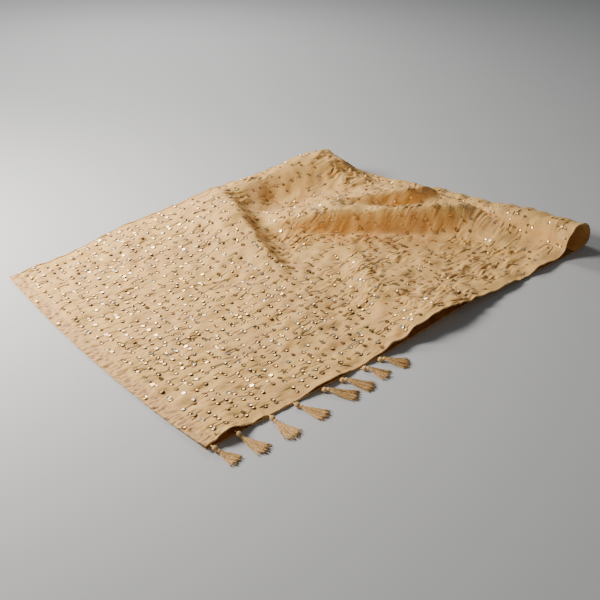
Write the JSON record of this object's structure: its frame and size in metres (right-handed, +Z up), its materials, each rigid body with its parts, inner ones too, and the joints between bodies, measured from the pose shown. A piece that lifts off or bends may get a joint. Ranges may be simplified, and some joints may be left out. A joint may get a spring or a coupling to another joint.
{
  "type": "folded dupatta stole",
  "caption": "Long crinkled cloth stole folded once across and laid flat, with a rumpled middle, narrow hems and tassels along one long edge.",
  "frame": {"origin": "on the resting surface, under the middle of the whole piece's box", "axes": "+X along the cloth from the short end on top to the loop at the fold, +Y from the near long edge with the tassels to the far one, +Z up"},
  "size_m": [1.064, 0.8, 0.0864],
  "materials": {
    "cloth": "crinkled, matt with a soft sheen",
    "hem": "narrow rolled hem",
    "tassel_thread": "twisted thread",
    "sequin": "pearly metallic, flat and round"
  },
  "bodies": {
    "root": {"upper_end_band": "cloth", "upper_left": "cloth", "upper_middle": "cloth", "upper_right": "cloth", "fold_roll": "cloth", "lower_layer": "cloth", "near_hem_top": "hem", "near_hem_fold": "hem", "near_hem_under": "hem", "far_hem_top": "hem", "far_hem_fold": "hem", "far_hem_under": "hem", "tassel_1_knot": "tassel_thread", "tassel_1_skirt": "tassel_thread", "tassel_2_knot": "tassel_thread", "tassel_2_skirt": "tassel_thread", "tassel_3_knot": "tassel_thread", "tassel_3_skirt": "tassel_thread", "tassel_4_knot": "tassel_thread", "tassel_4_skirt": "tassel_thread", "tassel_5_knot": "tassel_thread", "tassel_5_skirt": "tassel_thread", "tassel_6_knot": "tassel_thread", "tassel_6_skirt": "tassel_thread", "tassel_7_knot": "tassel_thread", "tassel_7_skirt": "tassel_thread", "tassel_8_knot": "tassel_thread", "tassel_8_skirt": "tassel_thread"}
  },
  "joints": []
}
